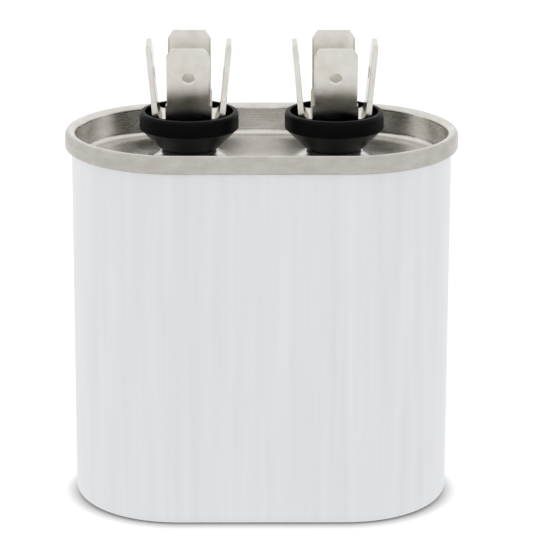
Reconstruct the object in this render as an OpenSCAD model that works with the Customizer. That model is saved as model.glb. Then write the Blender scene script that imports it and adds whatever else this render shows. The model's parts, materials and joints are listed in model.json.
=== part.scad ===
// Motor run capacitor in an oval drawn can, with a double-seamed cover and
// two insulated terminals of four push-on tabs each. Millimetres, +Z up.
// Origin: middle of the can's flat base. X runs along the oval, Y across it.

/* [Can] */
// Width over the rolled rim
rim_w = 56; // [50:0.5:64]
// Depth over the rolled rim
rim_d = 32.2; // [30:0.2:36]
// Height of the rim's crest above the base
rim_top = 54.6; // [48:0.2:100]
// Height of the rolled rim
rim_h = 2.6; // [2.4:0.1:3]
// Sheet thickness of the can
can_t = 0.32; // [0.28:0.02:0.36]
// Outside radius round the can's base
base_r = 1.4; // [1:0.1:2]

/* [Cover] */
// Sheet thickness of the cover
cover_t = 0.25; // [0.2:0.01:0.28]
// Depth of the flat panel below the rim's crest
panel_depth = 4.5; // [4:0.1:5]
// Inside radius at the foot of the recess
foot_r = 0.8; // [0.5:0.1:1]
// Height of the raised boss under each terminal
boss_h = 1.35; // [1:0.05:1.6]
// Radius of the boss's flat top
boss_top_r = 4.1; // [3.9:0.1:4.4]
// Radius of the boss's foot
boss_foot_r = 6.5; // [6.2:0.1:6.8]

/* [Terminals] */
// Distance between the two terminals
terminal_pitch = 20.65; // [19.5:0.05:22]
// Radius of the insulator cup
cup_r = 7.05; // [6.8:0.01:7.2]
// Radius of the recess in the cup's top
cup_recess_r = 6.28; // [6.2:0.01:6.3]
// Height of the cup's straight wall
cup_wall_h = 2.35; // [2:0.05:2.6]
// Height of the cup's top above the cover's panel
cup_top_h = 7.1; // [6.9:0.05:7.5]
// Height of the cup's cone, which slopes at 45 degrees
cup_cone_h = 3.1; // [2.9:0.05:3.2]

/* [Tabs] */
// Sheet thickness of the tab strips
tab_t = 0.8; // [0.78:0.01:0.82]
// Width of a tab's blade
blade_w = 6.1; // [6:0.05:6.35]
// Length of a blade from its shoulders to its tip
blade_l = 8.1; // [7.8:0.05:8.3]
// Width of a strip below the blades' shoulders
root_w = 6.5; // [6.4:0.05:6.5]
// Distance from the tip to the middle of the latch hole
hole_from_tip = 4.4; // [4:0.1:4.6]
// Diameter of the latch hole
hole_d = 1.8; // [1.6:0.05:2]
// Outward lean of the left and right blades, in degrees
side_lean = 5.5; // [4:0.5:7]
// Outward lean of the front and rear blades, in degrees
front_lean = 11; // [8:0.5:11]
// Inside bend radius of the left and right blades
side_bend_r = 0.8; // [0.6:0.05:0.9]
// Inside bend radius of the front and rear blades
front_bend_r = 0.4; // [0.3:0.05:0.4]

/* [Winding] */
// Height of the wound film
film_h = 39; // [32:0.5:39]
// Thickness of the sprayed metal on each end
spray_t = 0.6; // [0.4:0.1:0.8]
// Diameter of the lead wires
lead_d = 1; // [0.8:0.1:1.1]

/* [Hidden] */
$fn = 72;

// Seam: five layers of sheet with a little compound between them. Radii are
// measured from the centre of the oval's round ends.
seam_gap = 0.05;
rim_r = rim_d / 2;
end_x = (rim_w - rim_d) / 2;
can_r = rim_r - 2 * cover_t - can_t - 3 * seam_gap;
chuck_r = can_r - can_t;
can_hook_r = can_r + 2 * seam_gap + cover_t;
cover_hook_r = can_r + seam_gap;
rim_round_r = (rim_r - chuck_r + cover_t) / 2;
curl_r = (rim_r - cover_hook_r) / 2;
fold_z = rim_top - rim_round_r;
curl_z = rim_top - rim_h + curl_r;
can_hook_end_z = curl_z + 0.1;
cover_hook_end_z = curl_z + 1;

// Cover
panel_z = rim_top - panel_depth;
boss_z = panel_z + boss_h;
boss_blend_r = 0.5;
cover_hole_r = 2.6;

// Cup and what it clamps
gasket_h = 0.3;
gasket_r = 3.85;
cup_top_z = panel_z + cup_top_h;
cup_bottom_z = boss_z + gasket_h;
cup_crease_z = cup_top_z - cup_wall_h;
cup_cone_z = cup_crease_z - cup_cone_h;
cup_edge_r = 0.4;
shank_r = 1.5;
rivet_head_r = 2.7;
rivet_head_h = 0.8;
rivet_foot_r = 2.4;
rivet_foot_h = 0.8;

// Tab strips: the front and rear strip lies under the left and right one
side_plate_z = cup_top_z - 0.4;
front_plate_z = side_plate_z - tab_t;
recess_floor_z = front_plate_z - tab_t;
side_shoulder = [4.93, 4.5 + rim_top];
front_shoulder = [4.72, 5 + rim_top];
shoulder_h = 0.7;
tip_corner_w = 0.75;
tip_corner_h = 1.15;
tip_bevel_h = 0.85;
tip_bevel_d = 0.08;
edge_bevel_w = 0.25;
edge_bevel_d = 0.06;

// Under the cover
inner_r = 5.5;
inner_h = 0.65;
hub_r = 3.6;
inner_top_z = panel_z - cover_t;
inner_bottom_z = inner_top_z - inner_h;
inner_tab_t = 0.6;
inner_tab_w = 7;
inner_tab_reach = 5;
inner_tab_z = inner_bottom_z - inner_tab_t;
lead_from_terminal = 3.6;

// Winding and its wrapping, from the base up
tray_gap = 0.2;
tray_t = 1;
tray_lip_t = 0.8;
tray_lip_h = 4.7;
tray_pad_h = 2.1;
wrap_gap = 0.1;
wrap_t = 0.6;
lead_room = 1.4;
tray_r = chuck_r - tray_gap;
wrap_r = tray_r - tray_lip_t - wrap_gap;
film_r = wrap_r - wrap_t;
film_end_x = end_x - lead_room;
spray_z = can_t + tray_t + tray_pad_h;
film_z = spray_z + spray_t;
wrap_top_z = film_z + film_h + spray_t + 1.4;
plate_t = 1.2;
plate_r = chuck_r - 0.4;
lead_bend_r = lead_room / 2;
lead_low_z = spray_z - lead_d / 2;
lead_high_z = wrap_top_z + plate_t + lead_bend_r;
lead_side_x = end_x + film_r - lead_room / 2;
lead_foot_x = 12;

// ---- shapes that repeat ----

// Flat oval: straight sides between two round ends
module oval(r, half = end_x) {
    square([2 * half, 2 * r], center = true);
    for (side = [-1, 1]) translate([side * half, 0]) circle(r);
}

// Sweeps a profile drawn as [distance from the end centre, height] all the
// way round the oval
module round_the_oval() {
    for (turn = [0, 180]) rotate([0, 0, turn]) {
        translate([end_x, 0, 0]) rotate([0, 0, -90]) rotate_extrude(angle = 180) children();
        rotate([90, 0, 90]) linear_extrude(2 * end_x, center = true) children();
    }
}

// Rectangle from one corner to the other
module block(x0, y0, x1, y1) {
    translate([x0, y0]) square([x1 - x0, y1 - y0]);
}

// Part of a ring between two angles that are at most 90 degrees apart
module bend(r_in, r_out, from, to) {
    far = 2 * r_out;
    mid = (from + to) / 2;
    intersection() {
        difference() {
            circle(r_out);
            circle(r_in);
        }
        polygon([[0, 0], far * [cos(from), sin(from)], far * [cos(mid), sin(mid)], far * [cos(to), sin(to)]]);
    }
}

// Half of a ring, above or below its centre
module fold(r_in, r_out, up) {
    if (up) {
        bend(r_in, r_out, 0, 90);
        bend(r_in, r_out, 90, 180);
    } else {
        bend(r_in, r_out, 180, 270);
        bend(r_in, r_out, 270, 360);
    }
}

module at_terminal(side) {
    translate([side * terminal_pitch / 2, 0, 0]) children();
}

// ---- can and cover ----

// The base turns up into the wall, and the wall's edge hooks over the cover's
module can_profile() {
    block(0, 0, can_r - base_r, can_t);
    translate([can_r - base_r, base_r]) bend(base_r - can_t, base_r, 270, 360);
    block(chuck_r, base_r, can_r, fold_z);
    translate([(chuck_r + can_hook_r + can_t) / 2, fold_z])
        fold((can_hook_r - can_r) / 2, (can_hook_r - can_r) / 2 + can_t, true);
    block(can_hook_r, can_hook_end_z, can_hook_r + can_t, fold_z);
}

// The panel turns up into the chuck wall, over the can's edge, down its
// outside and up again behind the can's hook
module cover_profile() {
    foot_x = chuck_r - cover_t - foot_r;
    block(0, panel_z - cover_t, foot_x, panel_z);
    translate([foot_x, panel_z + foot_r]) bend(foot_r, foot_r + cover_t, 270, 360);
    block(chuck_r - cover_t, panel_z + foot_r, chuck_r, fold_z);
    translate([rim_r - rim_round_r, fold_z]) fold(rim_round_r - cover_t, rim_round_r, true);
    block(rim_r - cover_t, curl_z, rim_r, fold_z);
    translate([rim_r - curl_r, curl_z]) fold(curl_r - cover_t, curl_r, false);
    block(cover_hook_r, curl_z, cover_hook_r + cover_t, cover_hook_end_z);
}

// Raised boss under a terminal, drawn as [radius, height]: its outside is
// lift = 0, and its underside is lift = -cover_t
module boss_profile(lift) {
    polygon([
        [0, panel_z - cover_t - 1], [boss_foot_r, panel_z - cover_t - 1],
        [boss_foot_r, panel_z + lift], [boss_top_r, boss_z + lift], [0, boss_z + lift]
    ]);
}

module boss_skin() {
    rotate_extrude() difference() {
        boss_profile(0);
        boss_profile(-cover_t);
        block(0, 0, cover_hole_r, rim_top);
        block(0, 0, rim_d, panel_z - cover_t);
    }
}

module can() {
    color("#c6c9cd") round_the_oval() can_profile();
}

module cover() {
    color("#d4d5d6") {
        difference() {
            round_the_oval() cover_profile();
            for (side = [-1, 1]) at_terminal(side)
                translate([0, 0, panel_z - 1]) cylinder(r = boss_foot_r, h = 2);
        }
        for (side = [-1, 1]) at_terminal(side) boss_skin();
    }
}

// Sealing compound in the bottom of the cover's curl
module seam_compound() {
    color("#6d6a62") round_the_oval() {
        translate([rim_r - curl_r, curl_z]) intersection() {
            circle(curl_r - cover_t);
            block(-curl_r, -curl_r, curl_r, 0);
        }
        block(cover_hook_r + cover_t, curl_z, rim_r - cover_t, can_hook_end_z);
    }
}

// ---- terminals ----

// Moulded cup: a neck through the cover's hole, a cone, a straight wall with
// a rounded lip, and a flat recess for the tab strips
module terminal_cup(side) {
    cone_r = cup_r - cup_cone_h;
    color("#17181a") at_terminal(side) rotate_extrude() difference() {
        union() {
            polygon([
                [0, cup_bottom_z], [cone_r, cup_bottom_z], [cone_r, cup_cone_z], [cup_r, cup_crease_z],
                [cup_r, cup_top_z - cup_edge_r], [0, cup_top_z - cup_edge_r]
            ]);
            block(0, cup_crease_z, cup_r - cup_edge_r, cup_top_z);
            translate([cup_r - cup_edge_r, cup_top_z - cup_edge_r]) circle(cup_edge_r);
            block(0, boss_z - cover_t, cover_hole_r, cup_bottom_z);
        }
        block(0, recess_floor_z, cup_recess_r, cup_top_z + 1);
        block(0, 0, shank_r, cup_top_z);
    }
}

module cover_gasket(side) {
    color("#2b2b2b") at_terminal(side) translate([0, 0, boss_z]) linear_extrude(gasket_h) difference() {
        circle(gasket_r);
        circle(cover_hole_r);
    }
}

// Insulating washer under the cover, with a hub that fills the boss
module inner_insulator(side) {
    color("#e8e4d8") at_terminal(side) rotate_extrude() {
        block(shank_r, inner_bottom_z, inner_r, inner_top_z);
        block(shank_r, inner_top_z, hub_r, boss_z - cover_t);
    }
}

// Space that one arm of a strip is cut to, flat on X with its middle on
// x = 0: z runs up from the bend to the shoulders, then to the blade's tip,
// which has cut corners. Both faces are bevelled along the edges and the tip.
module arm_space(length) {
    shoulder_z = length - blade_l;
    t = tab_t / 2;
    w = blade_w / 2;
    root = root_w / 2;
    cut = 2 * edge_bevel_w;
    difference() {
        intersection() {
            rotate([90, 0, 90]) linear_extrude(4 * tab_t, center = true) polygon([
                [-root - 1, -1], [root + 1, -1], [root + 1, shoulder_z - shoulder_h], [root, shoulder_z - shoulder_h],
                [w, shoulder_z], [w, length - tip_corner_h], [w - tip_corner_w, length],
                [-w + tip_corner_w, length], [-w, length - tip_corner_h], [-w, shoulder_z],
                [-root, shoulder_z - shoulder_h], [-root - 1, shoulder_z - shoulder_h]
            ]);
            rotate([90, 0, 0]) linear_extrude(4 * root, center = true) polygon([
                [-2 * t, -1], [2 * t, -1], [2 * t, length - 2 * tip_bevel_h - 1],
                [t + tip_bevel_d, length - 2 * tip_bevel_h], [t - tip_bevel_d, length],
                [-t + tip_bevel_d, length], [-t - tip_bevel_d, length - 2 * tip_bevel_h],
                [-2 * t, length - 2 * tip_bevel_h - 1]
            ]);
            union() {
                translate([0, 0, shoulder_z / 2 - 1]) cube([4 * t, 4 * root, shoulder_z + 2 - shoulder_h], center = true);
                linear_extrude(length + 1) polygon([
                    [-t - edge_bevel_d, cut - w], [edge_bevel_d - t, -w], [t - edge_bevel_d, -w], [t + edge_bevel_d, cut - w],
                    [t + edge_bevel_d, w - cut], [t - edge_bevel_d, w], [edge_bevel_d - t, w], [-t - edge_bevel_d, w - cut]
                ]);
            }
        }
        translate([0, 0, length - hole_from_tip]) rotate([0, 90, 0])
            cylinder(d = hole_d, h = 5 * tab_t, center = true);
    }
}

// Region inside a U with leaning sides and rounded bottom corners, drawn as
// [x, z]: the corners' centres are [+-x, z], and the open top is far above
module u_region(x, z, r, lean, far) {
    top_x = x + far * sin(lean) + r / 2 * cos(lean);
    top_z = z + far * cos(lean) - r / 2 * sin(lean);
    for (side = [0, 1]) mirror([side, 0]) translate([x, z]) rotate(-lean) {
        circle(r);
        square([r, far]);
    }
    polygon([[-x, z - r], [x, z - r], [x, z], [top_x, top_z], [-top_x, top_z], [-x, z]]);
}

// U-shaped strip along X: a flat plate with a rivet hole, and at each end a
// bend and a blade that leans outward. shoulder is the blade's middle there.
module tab_strip(plate_z, bend_r, lean, shoulder) {
    mid_r = bend_r + tab_t / 2;
    bend_z = plate_z + bend_r;
    bend_x = shoulder[0] - (mid_r + (shoulder[1] - bend_z) * sin(lean)) / cos(lean);
    root = [bend_x + mid_r * cos(lean), bend_z - mid_r * sin(lean)];
    length = (shoulder[1] - root[1]) / cos(lean) + blade_l;
    difference() {
        intersection() {
            rotate([90, 0, 0]) linear_extrude(root_w, center = true) difference() {
                u_region(bend_x, bend_z, bend_r + tab_t, lean, 2 * blade_l);
                u_region(bend_x, bend_z, bend_r, lean, 3 * blade_l);
            }
            union() {
                translate([0, 0, bend_z]) cube([4 * root_w, 2 * root_w, 2 * tab_t + 2 * bend_r], center = true);
                for (turn = [0, 180]) rotate([0, 0, turn])
                    translate([root[0], 0, root[1]]) rotate([0, lean, 0]) arm_space(length);
            }
        }
        translate([0, 0, plate_z - 2 * tab_t]) cylinder(r = shank_r, h = 3 * tab_t);
    }
}

module side_blades(side) {
    color("#b9b7ae") at_terminal(side) tab_strip(side_plate_z, side_bend_r, side_lean, side_shoulder);
}

module front_rear_blades(side) {
    color("#bdbbb2") at_terminal(side) rotate([0, 0, 90]) tab_strip(front_plate_z, front_bend_r, front_lean, front_shoulder);
}

// Solid rivet that clamps the whole terminal, from its head on the tab strips
// to its spread foot under the inner tab
module terminal_rivet(side) {
    edge = 0.25;
    head_z = side_plate_z + rivet_head_h;
    foot_z = inner_tab_z - rivet_foot_h;
    color("#c9c7c0") at_terminal(side) rotate_extrude() polygon([
        [0, foot_z], [rivet_foot_r - edge, foot_z], [rivet_foot_r, inner_tab_z], [shank_r, inner_tab_z],
        [shank_r, side_plate_z], [rivet_head_r, side_plate_z], [rivet_head_r, head_z - edge],
        [rivet_head_r - edge, head_z], [0, head_z]
    ]);
}

// Tab under the cover that the lead is welded to, longer on its outer side
module inner_tab(side) {
    color("#c8b070") at_terminal(side) mirror([side < 0 ? 1 : 0, 0, 0])
        translate([0, 0, inner_tab_z]) linear_extrude(inner_tab_t) difference() {
            union() {
                circle(inner_tab_w / 2);
                block(0, -inner_tab_w / 4, inner_tab_reach, inner_tab_w / 4);
            }
            circle(shank_r);
        }
}

// ---- leads: round wires in the plane y = 0 ----

module lead_run(x0, z0, x1, z1) {
    if (x0 == x1) {
        translate([x0, 0, min(z0, z1)]) cylinder(d = lead_d, h = abs(z1 - z0));
    } else {
        translate([min(x0, x1), 0, z0]) rotate([0, 90, 0]) cylinder(d = lead_d, h = abs(x1 - x0));
    }
}

// Quarter bend about the centre [x, z], starting at an angle in the XZ plane
module lead_bend(x, z, from) {
    translate([x, 0, z]) rotate([90, 0, 0]) rotate([0, 0, from])
        rotate_extrude(angle = 90) translate([lead_bend_r, 0]) circle(d = lead_d);
}

// Straight down from the left terminal to the top of the winding
module lead_left() {
    x = -terminal_pitch / 2 - lead_from_terminal;
    color("#d8d8d8") lead_run(x, film_z + film_h + spray_t, x, inner_tab_z);
}

// From the right terminal over the winding's end, down beside it and in under
// its lower end
module lead_right() {
    x = terminal_pitch / 2 + lead_from_terminal;
    r = lead_bend_r;
    color("#d8d8d8") {
        lead_run(x, lead_high_z + r, x, inner_tab_z);
        lead_bend(x + r, lead_high_z + r, 180);
        lead_run(x + r, lead_high_z, lead_side_x - r, lead_high_z);
        lead_bend(lead_side_x - r, lead_high_z - r, 0);
        lead_run(lead_side_x, lead_low_z + r, lead_side_x, lead_high_z - r);
        lead_bend(lead_side_x - r, lead_low_z + r, 270);
        lead_run(lead_foot_x, lead_low_z, lead_side_x - r, lead_low_z);
    }
}

// ---- winding and its insulation ----

module film_oval(z, h) {
    translate([0, 0, z]) linear_extrude(h) oval(film_r, film_end_x);
}

module winding() {
    color("#d9d2b8") film_oval(film_z, film_h);
}

module end_spray_bottom() {
    color("#8f9296") film_oval(spray_z, spray_t);
}

module end_spray_top() {
    color("#8f9296") film_oval(film_z + film_h, spray_t);
}

module film_wrap() {
    color("#e9e6da") translate([0, 0, spray_z]) linear_extrude(wrap_top_z - spray_z) difference() {
        oval(wrap_r);
        oval(wrap_r - wrap_t);
    }
}

// Tray in the can's base: a floor, a lip round the wrapped winding, and two
// pads that carry it with room for the lead between them
module bottom_insulator() {
    pad_gap = 3;
    color("#f0eee6") translate([0, 0, can_t]) {
        linear_extrude(tray_t) oval(tray_r - 1);
        translate([0, 0, tray_t]) linear_extrude(tray_pad_h) difference() {
            oval(tray_r - tray_lip_t);
            square([rim_w, pad_gap], center = true);
        }
        translate([0, 0, tray_t]) linear_extrude(tray_lip_h) difference() {
            oval(tray_r);
            oval(tray_r - tray_lip_t);
        }
    }
}

// Stiff plate on the wrap that holds the leads, so that they part when the
// cover bulges
module interrupter_plate() {
    slack = 0.05;
    left_x = -terminal_pitch / 2 - lead_from_terminal;
    color("#efece0") translate([0, 0, wrap_top_z]) linear_extrude(plate_t) difference() {
        oval(plate_r);
        translate([left_x, 0]) circle(lead_d / 2 + slack);
        translate([lead_side_x, 0]) circle(lead_d / 2 + slack);
        for (y = [-8, 8]) translate([0, y]) circle(2);
    }
}

can();
cover();
seam_compound();
terminal_cup(-1);  // terminal_cup_left
terminal_cup(1);  // terminal_cup_right
cover_gasket(-1);  // cover_gasket_left
cover_gasket(1);  // cover_gasket_right
inner_insulator(-1);  // inner_insulator_left
inner_insulator(1);  // inner_insulator_right
front_rear_blades(-1);  // front_rear_blades_left
front_rear_blades(1);  // front_rear_blades_right
side_blades(-1);  // side_blades_left
side_blades(1);  // side_blades_right
terminal_rivet(-1);  // terminal_rivet_left
terminal_rivet(1);  // terminal_rivet_right
inner_tab(-1);  // inner_tab_left
inner_tab(1);  // inner_tab_right
lead_left();
lead_right();
winding();
end_spray_bottom();
end_spray_top();
film_wrap();
bottom_insulator();
interrupter_plate();
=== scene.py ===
"""Motor run capacitor in an oval drawn can: camera, finishes and studio."""
import bpy
import json
import math
from mathutils import Matrix, Vector


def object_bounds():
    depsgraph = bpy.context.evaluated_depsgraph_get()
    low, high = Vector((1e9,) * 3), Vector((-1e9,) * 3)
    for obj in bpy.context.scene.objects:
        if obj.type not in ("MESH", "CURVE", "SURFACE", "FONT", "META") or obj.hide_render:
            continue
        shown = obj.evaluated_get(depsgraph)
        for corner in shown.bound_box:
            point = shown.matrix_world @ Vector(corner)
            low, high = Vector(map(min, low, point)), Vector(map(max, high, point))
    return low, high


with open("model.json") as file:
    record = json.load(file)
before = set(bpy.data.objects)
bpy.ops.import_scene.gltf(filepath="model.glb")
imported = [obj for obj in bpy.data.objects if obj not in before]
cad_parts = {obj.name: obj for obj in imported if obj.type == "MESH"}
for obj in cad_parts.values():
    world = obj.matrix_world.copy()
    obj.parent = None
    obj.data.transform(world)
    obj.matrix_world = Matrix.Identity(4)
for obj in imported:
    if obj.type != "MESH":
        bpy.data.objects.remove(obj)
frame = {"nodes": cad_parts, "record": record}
nodes = frame["nodes"]
cad_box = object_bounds()

MM = 0.001
scene = bpy.context.scene
scene.view_settings.view_transform = "Standard"

# ---- driving dimensions, in metres ----

RIM_END, RIM_FRONT = cad_box[1][0], cad_box[1][1]
STRAIGHT_HALF = RIM_END - RIM_FRONT         # half of the oval's straight stretch
RIM_FACE_START = RIM_FRONT - 0.7 * MM       # the rim's outer face takes over from its crest
RIM_FACE_WHOLE = RIM_FRONT - 0.3 * MM       # and is all there is from here outward
RIM_FACE_MIDDLE = 53.2 * MM                 # height of the middle of that face
RIM_FACE_HALF = 0.8 * MM                    # half of its height
CROWN = 140.0                               # fall in metres for each square metre: 0.09 mm at its edges
CAN_MIDDLE = 30 * MM                        # height that the lamps aim at


# ---- camera ----

LENS = 203.8                                # focal length on a 36 mm sensor
SHIFT = 0.00045
STAND = Vector((-3.85, -437.2, 166.1)) * MM
DOWN, LEFT, TILT = math.radians(17.04), math.radians(-0.598), math.radians(0.155)


def make_camera():
    """A long lens, slightly above the rim and a touch to the left."""
    lens = bpy.data.cameras.new("camera")
    lens.sensor_fit = "AUTO"
    lens.sensor_width = 36.0
    lens.lens = LENS
    lens.shift_x = SHIFT
    lens.clip_start = 0.01
    lens.clip_end = 20.0
    camera = bpy.data.objects.new("camera", lens)
    scene.collection.objects.link(camera)
    turn, rise, roll = (
        Matrix.Rotation(angle, 4, axis)
        for angle, axis in ((LEFT, "Z"), (math.pi / 2 - DOWN, "X"), (TILT, "Z")))
    camera.matrix_world = Matrix.Translation(STAND) @ turn @ rise @ roll
    scene.camera = camera


make_camera()


# ---- helpers for materials ----

def colour(hex_code):
    """sRGB hex code to linear RGBA."""
    parts = [int(hex_code[i:i + 2], 16) / 255 for i in (1, 3, 5)]
    return [p / 12.92 if p <= 0.04045 else ((p + 0.055) / 1.055) ** 2.4 for p in parts] + [1.0]


def add(tree, kind, inputs=None, **settings):
    """Adds a node with its settings, its socket values and its links."""
    made = tree.nodes.new(kind)
    for name, value in settings.items():
        setattr(made, name, value)
    for socket, value in (inputs or {}).items():
        if isinstance(value, bpy.types.NodeSocket):
            tree.links.new(value, made.inputs[socket])
        else:
            made.inputs[socket].default_value = value
    return made


def new_material(name):
    """A material with no nodes yet, and its node tree."""
    material = bpy.data.materials.new(name)
    material.use_nodes = True
    material.node_tree.nodes.clear()
    return material, material.node_tree


def grain(tree, size_mm, detail=3.0, roughness=0.5):
    """A pattern whose grain has the given size in millimetres along X, Y and Z."""
    place = add(tree, "ShaderNodeTexCoord")
    scaled = add(tree, "ShaderNodeMapping", {
        "Vector": place.outputs["Object"], "Scale": [1 / (size * MM) for size in size_mm]})
    pattern = add(tree, "ShaderNodeTexNoise", {
        "Vector": scaled.outputs["Vector"], "Scale": 1.0, "Detail": detail, "Roughness": roughness})
    return pattern.outputs["Fac"]


def two_tone(tree, pattern, low, high, first, second):
    """Two shades of one finish: the first where the pattern is under low, the
    second where it is over high, and a blend between."""
    share = add(tree, "ShaderNodeMapRange", {"Value": pattern, "From Min": low, "From Max": high})
    shades = add(tree, "ShaderNodeMix", {
        0: share.outputs["Result"], 6: colour(first), 7: colour(second)}, data_type="RGBA")
    return shades.outputs[2]


def uneven_surface(tree, pattern, low, high, smooth, rough, inputs):
    """The surface shader, linked to the output, smooth where the pattern is
    under low and rough where it is over high."""
    gloss = add(tree, "ShaderNodeMapRange", {
        "Value": pattern, "From Min": low, "From Max": high, "To Min": smooth, "To Max": rough})
    shader = add(tree, "ShaderNodeBsdfPrincipled", {"Roughness": gloss.outputs["Result"], **inputs})
    add(tree, "ShaderNodeOutputMaterial", {"Surface": shader.outputs["BSDF"]})


# ---- materials ----

def drawn_aluminium():
    """Deep-drawn aluminium: satin, with fine lines along the draw, and a sheen
    that spreads along the height and stays narrow across it."""
    material, tree = new_material("drawn_aluminium")
    fine = grain(tree, (0.18, 0.18, 14.0), 4.0)
    broad = grain(tree, (1.6, 1.6, 40.0))
    bump = add(tree, "ShaderNodeBump", {"Height": fine, "Strength": 0.12, "Distance": 0.02 * MM})
    round_about = add(tree, "ShaderNodeTangent", direction_type="RADIAL", axis="Z")
    uneven_surface(tree, fine, 0.3, 0.7, 0.36, 0.39, {
        "Base Color": two_tone(tree, broad, 0.3, 0.7, "#E4E5E8", "#EAEBED"),
        "Metallic": 1.0,
        "Anisotropic": 0.92,
        "Anisotropic Rotation": 0.25,
        "Tangent": round_about.outputs["Tangent"],
        "Normal": bump.outputs["Normal"]})
    return material


def rim_face(tree, part):
    """1 on the rim's outer face and 0 inside it, by distance from the oval's
    straight middle line. The mask carries the crown and the painted shade of that face."""
    along = add(tree, "ShaderNodeMath", {0: part.outputs["X"]}, operation="ABSOLUTE")
    past = add(tree, "ShaderNodeMath", {0: along.outputs["Value"], 1: STRAIGHT_HALF}, operation="SUBTRACT")
    end = add(tree, "ShaderNodeMath", {0: past.outputs["Value"], 1: 0.0}, operation="MAXIMUM")
    across = add(tree, "ShaderNodeCombineXYZ", {"X": end.outputs["Value"], "Y": part.outputs["Y"]})
    reach = add(tree, "ShaderNodeVectorMath", {0: across.outputs["Vector"]}, operation="LENGTH")
    share = add(tree, "ShaderNodeMapRange", {
        "Value": reach.outputs["Value"], "From Min": RIM_FACE_START, "From Max": RIM_FACE_WHOLE})
    return share.outputs["Result"]


def rim_crown(tree, part, face):
    """A slight crown over the height of the rim's outer face."""
    above = add(tree, "ShaderNodeMath", {0: part.outputs["Z"], 1: RIM_FACE_MIDDLE}, operation="SUBTRACT")
    off_middle = add(tree, "ShaderNodeClamp", {
        "Value": above.outputs["Value"], "Min": -RIM_FACE_HALF, "Max": RIM_FACE_HALF})
    square = add(tree, "ShaderNodeMath", {
        0: off_middle.outputs["Result"], 1: off_middle.outputs["Result"]}, operation="MULTIPLY")
    fall = add(tree, "ShaderNodeMath", {0: square.outputs["Value"], 1: face}, operation="MULTIPLY")
    crowned = add(tree, "ShaderNodeBump", {
        "Height": fall.outputs["Value"], "Strength": 1.0, "Distance": CROWN}, invert=True)
    return crowned.outputs["Normal"]


def rolled_aluminium():
    """Cover sheet, bright and slightly clouded. The seaming rolls leave the rim's outer face crowned
    and scuffed along its length, and that face is painted darker, a painted shade."""
    material, tree = new_material("rolled_aluminium")
    place = add(tree, "ShaderNodeTexCoord")
    part = add(tree, "ShaderNodeSeparateXYZ", {"Vector": place.outputs["Object"]})
    face = rim_face(tree, part)
    cloud = grain(tree, (3.0, 3.0, 1.2), 3.0, 0.6)
    scuff = grain(tree, (4.0, 4.0, 0.12), 4.0, 0.6)
    wavy = add(tree, "ShaderNodeBump", {
        "Height": scuff, "Strength": 0.15, "Distance": 0.02 * MM, "Normal": rim_crown(tree, part, face)})
    # Painted shade: the rim's outer face gets darker colours (#B4B0A9, #C2BFBA) than the rest of the
    # cover.
    sheet = add(tree, "ShaderNodeMix", {
        0: face,
        6: two_tone(tree, cloud, 0.3, 0.7, "#CFCBC4", "#DEDCD8"),
        7: two_tone(tree, cloud, 0.3, 0.7, "#B4B0A9", "#C2BFBA")}, data_type="RGBA")
    uneven_surface(tree, scuff, 0.35, 0.7, 0.20, 0.30, {
        "Base Color": sheet.outputs[2],
        "Metallic": 1.0,
        "Normal": wavy.outputs["Normal"]})
    return material


def black_phenolic():
    """Moulded black thermoset: semi-matte, with a faint moulding texture."""
    material, tree = new_material("black_phenolic")
    skin = grain(tree, (0.12, 0.12, 0.12), 2.0)
    bump = add(tree, "ShaderNodeBump", {"Height": skin, "Strength": 0.1, "Distance": 0.01 * MM})
    uneven_surface(tree, skin, 0.3, 0.7, 0.34, 0.44, {
        "Base Color": two_tone(tree, skin, 0, 1, "#040405", "#070708"),
        "Specular IOR Level": 0.06,
        "Normal": bump.outputs["Normal"]})
    return material


def tin_plate():
    """Tin-plated brass strip: grey-white, with a fine orange-peel skin that
    keeps near reflections sharp and clouds the far ones."""
    material, tree = new_material("tin_plate")
    cloud = grain(tree, (3.0, 3.0, 3.0), 4.0, 0.6)
    skin = grain(tree, (0.2, 0.2, 0.2))
    bump = add(tree, "ShaderNodeBump", {"Height": skin, "Strength": 0.12, "Distance": 0.02 * MM})
    uneven_surface(tree, cloud, 0.3, 0.7, 0.16, 0.22, {
        "Base Color": two_tone(tree, cloud, 0.35, 0.65, "#D2CEC5", "#DEDCD7"),
        "Metallic": 1.0,
        "Normal": bump.outputs["Normal"]})
    return material


def plain_metal(name, dark, light, smooth):
    """Metal inside the can, with slight cloudiness."""
    material, tree = new_material(name)
    cloud = grain(tree, (1.5, 1.5, 1.5))
    uneven_surface(tree, cloud, 0.3, 0.7, smooth, smooth + 0.12, {
        "Base Color": two_tone(tree, cloud, 0, 1, dark, light),
        "Metallic": 1.0})
    return material


def plain_plastic(name, dark, light, smooth):
    """Plastic, film or rubber, with slight cloudiness."""
    material, tree = new_material(name)
    cloud = grain(tree, (2.0, 2.0, 2.0))
    uneven_surface(tree, cloud, 0.3, 0.7, smooth, smooth + 0.1, {
        "Base Color": two_tone(tree, cloud, 0, 1, dark, light)})
    return material


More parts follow.
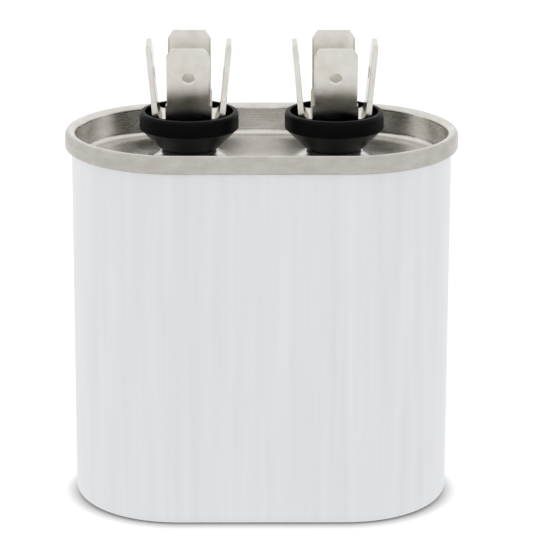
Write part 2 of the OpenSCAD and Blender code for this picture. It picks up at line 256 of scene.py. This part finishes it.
finishes = {
    "can_aluminium": drawn_aluminium(),
    "cover_aluminium": rolled_aluminium(),
    "black_phenolic": black_phenolic(),
    "tinned_brass": tin_plate(),
    "tinned_rivet": plain_metal("tinned_rivet", "#D8D7D2", "#E6E6E4", 0.16),
    "gasket_rubber": plain_plastic("gasket_rubber", "#141414", "#1D1D1D", 0.6),
    "sealing_compound": plain_plastic("sealing_compound", "#5A574E", "#6B675C", 0.7),
    "pale_insulator": plain_plastic("natural_polypropylene", "#E2DFD4", "#EDEAE0", 0.4),
    "bare_brass": plain_metal("bare_brass", "#B99A55", "#CDB26C", 0.25),
    "tinned_wire": plain_metal("tinned_copper", "#CFCFCC", "#DEDEDB", 0.2),
    "wound_film": plain_plastic("wound_film", "#B9B8B0", "#CCCBC4", 0.3),
    "sprayed_zinc": plain_metal("sprayed_zinc", "#7E8084", "#96989C", 0.55),
    "wrap_film": plain_plastic("wrap_film", "#DDD9CB", "#EAE7DC", 0.3),
}
slots = {s["node"]: s["material_slot"] for s in frame["record"]["subparts"]}
for name, piece in nodes.items():
    piece.data.materials.clear()
    piece.data.materials.append(finishes[slots[name]])


# ---- studio ----

FLOOR_HALF = 1.5
PAINTED_SHADOW_REACH = 2.2 * MM                    # how far the painted shadow under the can spreads
SOFTBOX_HEIGHT = 0.5
SOFTBOX_POWER = 3.0


def floor_material():
    """White sweep: white to the camera and in metal, pale to all other light,
    and darkened to the camera by a painted shadow from ambient occlusion where the can stands on it."""
    material, tree = new_material("white_sweep")
    path = add(tree, "ShaderNodeLightPath")
    # Painted shadow: ambient occlusion darkens the floor's white emission near the can's base.
    near = add(tree, "ShaderNodeAmbientOcclusion", {"Distance": PAINTED_SHADOW_REACH}, samples=16)
    painted_shadow_share = add(tree, "ShaderNodeMapRange", {
        "Value": near.outputs["AO"], "From Min": 0.1, "From Max": 1.0, "To Min": 0.1, "To Max": 0.93})
    paper = add(tree, "ShaderNodeBsdfDiffuse", {"Color": colour("#5A5A5A")})
    white_emission_with_painted_shadow = add(tree, "ShaderNodeEmission", {
        "Color": colour("#FFFFFF"), "Strength": painted_shadow_share.outputs["Result"]})
    white = add(tree, "ShaderNodeAddShader", {0: paper.outputs["BSDF"], 1: white_emission_with_painted_shadow.outputs["Emission"]})
    plain = add(tree, "ShaderNodeBsdfDiffuse", {"Color": colour("#E8E8E8")})
    in_metal = add(tree, "ShaderNodeEmission", {"Color": colour("#FFFFFF"), "Strength": 1.0})
    to_camera = add(tree, "ShaderNodeMixShader", {
        0: path.outputs["Is Camera Ray"], 1: plain.outputs["BSDF"], 2: white.outputs["Shader"]})
    seen = add(tree, "ShaderNodeMixShader", {
        0: path.outputs["Is Glossy Ray"], 1: to_camera.outputs["Shader"], 2: in_metal.outputs["Emission"]})
    add(tree, "ShaderNodeOutputMaterial", {"Surface": seen.outputs["Shader"]})
    return material


def make_floor():
    """A flat square under the object."""
    mesh = bpy.data.meshes.new("floor")
    corners = [(x * FLOOR_HALF, y * FLOOR_HALF, 0) for x, y in ((-1, -1), (1, -1), (1, 1), (-1, 1))]
    mesh.from_pydata(corners, [], [(0, 1, 2, 3)])
    mesh.materials.append(floor_material())
    floor = bpy.data.objects.new("floor", mesh)
    scene.collection.objects.link(floor)


def softbox(name, width, place):
    """A rectangular area lamp that faces the can and doesn't show in metal."""
    lamp = bpy.data.lights.new(name, "AREA")
    lamp.shape = "RECTANGLE"
    lamp.size = width
    lamp.size_y = SOFTBOX_HEIGHT
    lamp.energy = SOFTBOX_POWER
    box = bpy.data.objects.new(name, lamp)
    box.location = place
    box.rotation_euler = (Vector((0, 0, CAN_MIDDLE)) - box.location).to_track_quat("-Z", "Y").to_euler()
    box.visible_glossy = False
    scene.collection.objects.link(box)


def make_world():
    """White to the camera and in metal, and an even pale fill for the rest."""
    world = bpy.data.worlds.new("studio")
    world.use_nodes = True
    tree = world.node_tree
    tree.nodes.clear()
    path = add(tree, "ShaderNodeLightPath")
    seen = add(tree, "ShaderNodeMath", {
        0: path.outputs["Is Camera Ray"], 1: path.outputs["Is Glossy Ray"]}, operation="MAXIMUM")
    white = add(tree, "ShaderNodeBackground", {"Color": colour("#FFFFFF"), "Strength": 1.0})
    fill = add(tree, "ShaderNodeBackground", {"Color": colour("#F2F2F2"), "Strength": 0.45})
    mix = add(tree, "ShaderNodeMixShader", {
        0: seen.outputs["Value"], 1: fill.outputs["Background"], 2: white.outputs["Background"]})
    add(tree, "ShaderNodeOutputWorld", {"Surface": mix.outputs["Shader"]})
    scene.world = world


make_floor()
softbox("top_softbox", 0.5, (0, -0.05, 0.6))
softbox("left_softbox", 0.4, (-0.5, -0.35, 0.3))
softbox("right_softbox", 0.4, (0.5, -0.35, 0.3))
make_world()
